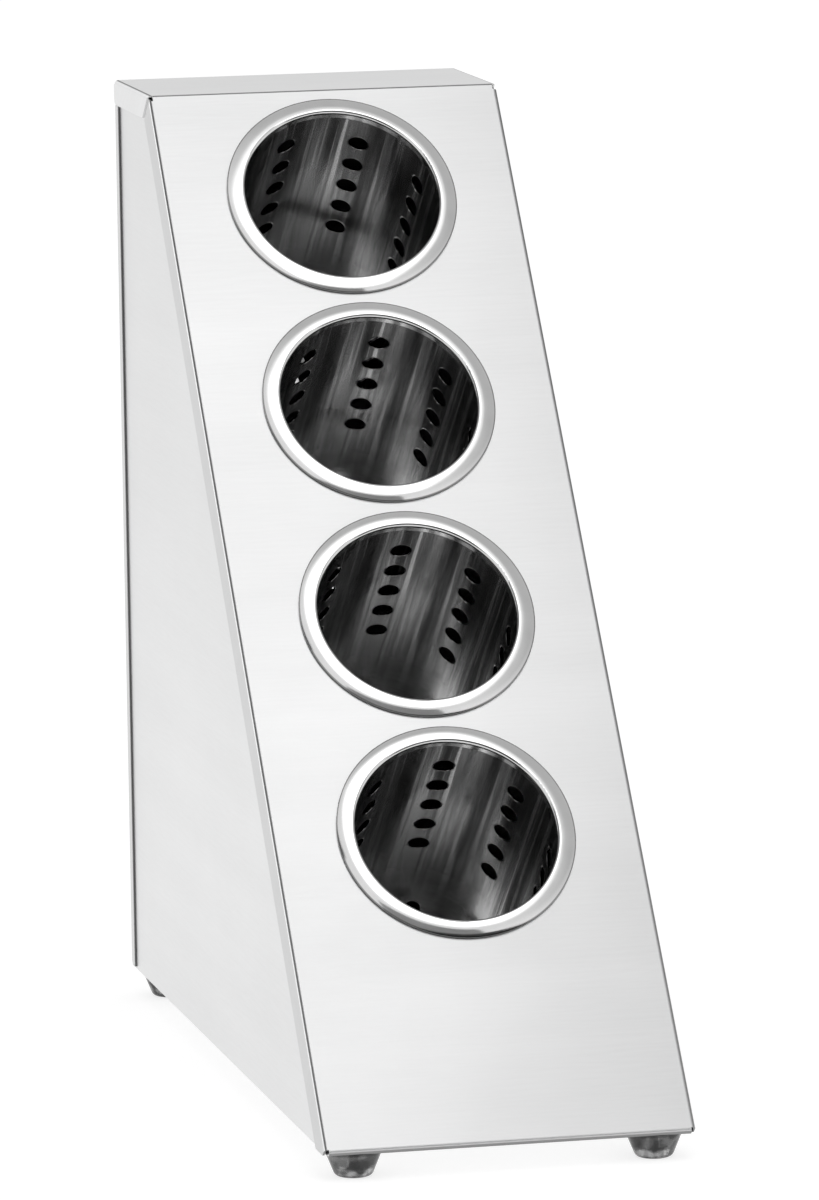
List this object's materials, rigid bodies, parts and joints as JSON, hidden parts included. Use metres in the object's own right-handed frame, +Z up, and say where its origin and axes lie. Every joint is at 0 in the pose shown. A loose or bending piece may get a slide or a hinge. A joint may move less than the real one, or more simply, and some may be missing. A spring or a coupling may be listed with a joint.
{
  "type": "cutlery holder",
  "caption": "Free-standing wedge-shaped steel tower whose sloping front holds a column of removable perforated cylinders for standing cutlery.",
  "frame": {"origin": "middle of the overall box in plan, on the surface that the feet stand on", "axes": "+Z up, the sloping front faces -Y, +X to the right as seen from the front"},
  "size_m": [0.185, 0.4878, 0.49],
  "materials": {
    "satin_steel": "satin stainless sheet, fine straight grain",
    "polished_steel": "mirror polished stainless",
    "cylinder_steel": "drawn stainless sheet with lengthwise streaks",
    "clear_foot": "glossy see-through smoke grey",
    "fastener_steel": "bright zinc plated steel"
  },
  "bodies": {
    "casing": {"front_cover": "satin_steel", "left_side_panel": "satin_steel", "right_side_panel": "satin_steel", "back_panel": "satin_steel", "base_plate": "satin_steel", "foot_front_left": "clear_foot", "foot_front_right": "clear_foot", "foot_rear_left": "clear_foot", "foot_rear_right": "clear_foot", "foot_screws": "fastener_steel", "foot_washers": "fastener_steel", "foot_nuts": "fastener_steel"},
    "cylinder_1": {"cylinder_1_rim": "polished_steel", "cylinder_1_tube": "cylinder_steel", "cylinder_1_base": "cylinder_steel"},
    "cylinder_2": {"cylinder_2_rim": "polished_steel", "cylinder_2_tube": "cylinder_steel", "cylinder_2_base": "cylinder_steel"},
    "cylinder_3": {"cylinder_3_rim": "polished_steel", "cylinder_3_tube": "cylinder_steel", "cylinder_3_base": "cylinder_steel"},
    "cylinder_4": {"cylinder_4_rim": "polished_steel", "cylinder_4_tube": "cylinder_steel", "cylinder_4_base": "cylinder_steel"}
  },
  "joints": [
    {"name": "cylinder_1_lift", "type": "slide", "parent": "casing", "child": "cylinder_1", "axis": [0, -0.7694, 0.6388], "range_m": [0, 0.15]},
    {"name": "cylinder_2_lift", "type": "slide", "parent": "casing", "child": "cylinder_2", "axis": [0, -0.7694, 0.6388], "range_m": [0, 0.15]},
    {"name": "cylinder_3_lift", "type": "slide", "parent": "casing", "child": "cylinder_3", "axis": [0, -0.7694, 0.6388], "range_m": [0, 0.15]},
    {"name": "cylinder_4_lift", "type": "slide", "parent": "casing", "child": "cylinder_4", "axis": [0, -0.7694, 0.6388], "range_m": [0, 0.15]}
  ]
}
